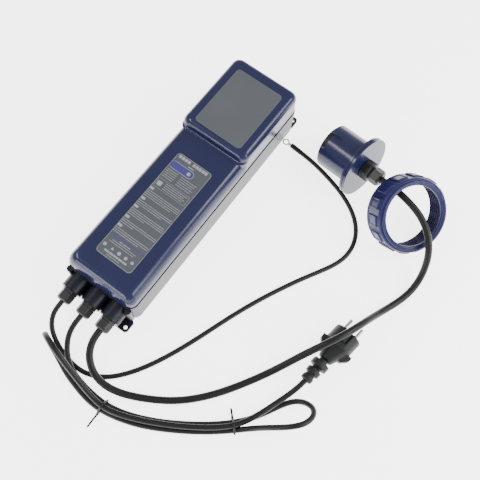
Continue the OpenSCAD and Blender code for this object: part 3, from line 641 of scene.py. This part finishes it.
def add_nut():
    vertices = []
    for grip in range(NUT_GRIPS):
        for side, share in GRIP_SIDES:
            turn = math.radians(360 * grip / NUT_GRIPS + side)
            for radius, height in NUT_SECTION:
                r = nut_radius(radius, height, share)
                vertices.append(place_nut((r * math.cos(turn), r * math.sin(turn), height)))
    rows = len(NUT_SECTION)
    columns = NUT_GRIPS * len(GRIP_SIDES)
    faces = []
    for c in range(columns):
        for k in range(rows):
            a = c * rows + k
            b = c * rows + (k + 1) % rows
            shift = rows if c < columns - 1 else rows - columns * rows
            faces.append((a, a + shift, b + shift, b))
    nut = mesh_object("union_nut_shape", vertices, faces, NUT_NAVY)
    # The bore's faces take the darker nylon: painted shade inside the bore
    nut.data.materials.append(NUT_BORE_SHADE)
    for face in nut.data.polygons:
        if face.index % rows in SHADED_BORE_ROWS:
            face.material_index = 1
    smooth(nut, NUT_SHARP)
    stand_for(nut, "union_nut", "union_nut")
    add_thread()


def add_thread():
    """The helical ridge inside the nut, thinning to nothing at both ends."""
    total = THREAD_TURNS * THREAD_STEPS
    vertices = []
    for k in range(total + 1):
        turn = 2 * math.pi * k / THREAD_STEPS
        crest = THREAD_ROOT - THREAD_RISE * min(1, k / THREAD_FADE, (total - k) / THREAD_FADE)
        base = THREAD_START + THREAD_PITCH * k / THREAD_STEPS
        for radius, height in ((THREAD_FOOT, -1.5), (crest, -0.5), (crest, 0.5), (THREAD_FOOT, 1.5)):
            vertices.append(place_nut((radius * math.cos(turn), radius * math.sin(turn), base + height)))
    faces = [(0, 1, 2, 3), (4 * total + 3, 4 * total + 2, 4 * total + 1, 4 * total)]
    for k in range(total):
        for j in range(4):
            a = 4 * k + j
            b = 4 * k + (j + 1) % 4
            faces.append((a, a + 4, b + 4, b))
    # The thread takes the bore's darker nylon, which paints the shade inside the bore
    thread = mesh_object("union_nut_thread", vertices, faces, NUT_BORE_SHADE)
    smooth(thread, THREAD_SHARP)
    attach(thread, "union_nut")


# ---------------------------------------------------------------- plug and small parts

# Cell sizes of the remeshed pieces and how much fuller a tie is, in metres
PLUG_CELL = 0.0008
TIE_CELL = 0.0004
TIE_FULLER = 0.0003
# The web between the gland bosses: partly a real web, partly a dark fill that stands in for the shade
# between them
WEB_HALF = 43.5
WEB_LOW_Y = -204
WEB_HIGH_Y = -184
WEB_LOW_Z = 3.5
WEB_TOP_Z = 20
WEB_CORNER = 1.5
WEB_TOP_CORNER = 1.2
WEB_CHAMFER = 0.5

def add_plug():
    """The plug is one soft moulding: its CAD shape remeshed and smoothed."""
    plug = copy_of("plug_body", "plug_shape", PLUG)
    add_remesh(plug, PLUG_CELL)
    blur = plug.modifiers.new("smooth", "SMOOTH")
    blur.factor = 0.5
    blur.iterations = 10
    apply_modifiers(plug)
    plug.data.shade_smooth()
    stand_for(plug, "plug_body", "root")
    return plug


def add_tie(node):
    """A wire tie in its soft sheath, a little fuller than its CAD shape."""
    tie = copy_of(node, node + "_shape", TIE)
    add_remesh(tie, TIE_CELL)
    full = tie.modifiers.new("full", "DISPLACE")
    full.mid_level = 0
    full.strength = TIE_FULLER
    tie.modifiers.new("smooth", "SMOOTH").iterations = 2
    apply_modifiers(tie)
    tie.data.shade_smooth()
    stand_for(tie, node, "root")
    return tie


def add_boss_web_and_shade():
    """The low web that joins the three gland bosses to the end of the case. Its dark block also fills the
    gaps between them, where it stands in for shade.
    """
    rings = [ring(WEB_HALF, WEB_LOW_Y, WEB_HIGH_Y, WEB_CORNER, WEB_LOW_Z),
             ring(WEB_HALF, WEB_LOW_Y, WEB_HIGH_Y, WEB_CORNER, WEB_TOP_Z - WEB_CHAMFER),
             ring(WEB_HALF - WEB_CHAMFER, WEB_LOW_Y + WEB_CHAMFER, WEB_HIGH_Y, WEB_TOP_CORNER, WEB_TOP_Z)]
    web = loft("boss_web_and_shade", rings, CASE)
    smooth(web)
    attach(web, "root")


def add_small_parts():
    polish("rear_case", CASE, 0.7)
    polish("head_panel", PANEL, 0.3)
    polish("rating_label", LABEL, 0.1, segments=1)
    polish("cap_body", NAVY, 0.6)
    polish("cap_insert", INSERT, 0.4)


# ---------------------------------------------------------------- leads

# Routes of the leads, in millimetres: the same points as in the CAD part
EARTH_ROUTE = [
    (-32.5, -200, 28), (-32.5, -216, 28), (-32.5, -230, 28), (-32.4, -242, 26.4),
    (-29, -253.5, 20.3), (-22, -262.8, 12.4), (-11.5, -269.5, 6), (3, -275.5, 3.5),
    (20.5, -279.5, 3.5), (38, -281, 3.5),
    (57, -277, 3.5), (77, -265, 3.5), (95, -244, 3.5), (111, -218, 3.5), (126, -186, 3.5),
    (140, -150, 3.5), (154, -110, 3.5), (170, -70, 3.5), (188, -32, 3.5), (206, 2, 3.5), (223, 30, 3.5),
    (236, 56, 3.5), (238, 84, 3.5), (226, 112, 3.5), (203, 132, 3.5), (174, 146, 3.5), (142, 155, 3.8),
    (114, 161, 4), (92, 163, 4)]

MAINS_ROUTE = [
    (0, -200, 28), (0, -214, 28), (0, -228, 28), (0, -240, 27), (1, -252, 22), (6, -264, 16),
    (16, -276, 12.6), (31, -286, 11.8), (49, -291, 7.5), (70, -294, 5), (94, -295, 5), (122, -289, 4.5),
    (151, -277, 4), (177, -263, 4), (201, -247.5, 4.5), (223, -231.5, 5), (243, -214, 5),
    (260, -194, 4.2), (273, -172, 4), (285, -150, 3.4), (299, -139.5, 8), (313.5, -139.5, 20),
    (320, -149.5, 33), (316, -165.5, 42), (304, -179, 42.5), (290, -189.5, 34), (276, -199, 22.5),
    (262, -210, 10.5), (246, -224, 5), (228, -239, 5), (206, -255, 4.5), (181, -270.5, 4),
    (155, -285, 4), (125, -297, 4.5), (94, -304, 5), (70, -303.5, 4.5), (48, -299, 4), (30, -294.5, 4),
    (16, -289, 4), (2, -283.5, 3.4), (-13.5, -277, 9), (-21.5, -272.5, 25), (-17, -271.5, 43),
    (-4, -275, 54.5), (13.5, -280.5, 54.5), (29, -285, 46), (45, -289.5, 34.5), (62, -294, 23),
    (80, -298, 14), (100, -299, 11.2), (127, -291, 11.4), (164, -274, 11), (200, -253, 11.4),
    (226, -235, 11.8), (247, -216.5, 12.2), (261, -192, 12.8), (270.5, -167, 11.5), (278, -148, 11.5),
    (282, -136, 15), (284.5, -127, 18), (286, -118, 18.5)]

CELL_ROUTE = [
    (32.5, -200, 28), (32.5, -212, 28), (32.5, -224, 28), (32.6, -236, 27.6), (35, -248.3, 25.3),
    (41.5, -260, 22), (52.5, -269.5, 18.5), (66.5, -275.3, 15.3), (83, -276.5, 12.5),
    (105, -271.5, 8.5), (132, -258.5, 6), (162, -240.5, 5), (188, -216.5, 5), (210, -188.5, 5),
    (230, -157, 5.5), (248, -126, 10), (264, -95, 26), (282, -66, 44.5), (296, -40, 45.5),
    (306, -13, 36), (315, 12, 17), (324, 34, 6), (334, 58, 5), (339, 80, 7), (338, 98, 17),
    (333, 112, 31), (326, 124, 42), (316, 137, 47), (303, 149, 51), (285, 158, 55), (264, 163, 58.5),
    (246, 166, 59.5), (233.5, 168.2, 57.2), (225, 169.7, 55.1), (216.2, 171.3, 53.1),
    (204, 173.5, 50.2), (191, 175.7, 47.3), (178, 178, 44.2)]


def spline_points(route, steps=8):
    """Points of the uniform cubic B-spline through the ends of a route."""
    points = [Vector(p) for p in route]
    points = [2 * points[0] - points[1]] + points + [2 * points[-1] - points[-2]]
    out = []
    for i in range(len(points) - 3):
        a, b, c, d = points[i:i + 4]
        for k in range(steps):
            t = k / steps
            out.append(((1 - t) ** 3 * a + (3 * t ** 3 - 6 * t * t + 4) * b
                        + (-3 * t ** 3 + 3 * t * t + 3 * t + 1) * c + t ** 3 * d) / 6)
    out.append(Vector(route[-1]))
    return out


def add_lead(name, node, route, diameter):
    curve = bpy.data.curves.new(name, "CURVE")
    curve.dimensions = "3D"
    curve.bevel_depth = diameter / 2 * MM
    curve.bevel_resolution = 6
    curve.use_fill_caps = True
    path = spline_points(route)
    spline = curve.splines.new("POLY")
    spline.points.add(len(path) - 1)
    for point, place in zip(spline.points, path):
        point.co = (*(place * MM), 1)
    spline.use_smooth = True
    curve.materials.append(LEAD)
    lead = bpy.data.objects.new(name, curve)
    bpy.context.scene.collection.objects.link(lead)
    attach(lead, "root")
    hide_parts(node)


def add_leads(plug, ties):
    add_lead("earth_cord", "earth_lead", EARTH_ROUTE, 7.0)
    add_lead("mains_cord", "mains_lead", MAINS_ROUTE, 7.6)
    add_lead("cell_cord", "cell_lead", CELL_ROUTE, 10.0)


# ---------------------------------------------------------------- floor

# The floor's side and the place of its middle, in metres, just under the object
FLOOR_SIDE = 12
FLOOR_PLACE = (0.15, 0, -0.0003)
FLOOR_GLOW_COLOUR = (1, 0.995, 0.985, 1)
FLOOR_GLOW = 3.6

def add_floor():
    """A pale table that glows a little, as a lit studio table does."""
    bpy.ops.mesh.primitive_plane_add(size=FLOOR_SIDE, location=FLOOR_PLACE)
    floor = bpy.context.object
    floor.name = "floor"
    material = plastic("floor", (0.80, 0.80, 0.79), (0.82, 0.82, 0.81),
                       rough=0.6, spread=0.05, grain=300, bump=0.02, gloss_level=0.5, speck=3)
    shader = material.node_tree.nodes["Principled BSDF"]
    shader.inputs["Emission Color"].default_value = FLOOR_GLOW_COLOUR
    shader.inputs["Emission Strength"].default_value = FLOOR_GLOW
    dress(floor, material)


add_camera()
add_light()
add_floor()
add_leads(add_plug(), [add_tie("cable_tie_1"), add_tie("cable_tie_2")])
add_cover()
add_print()
add_nut()
add_boss_web_and_shade()
add_small_parts()
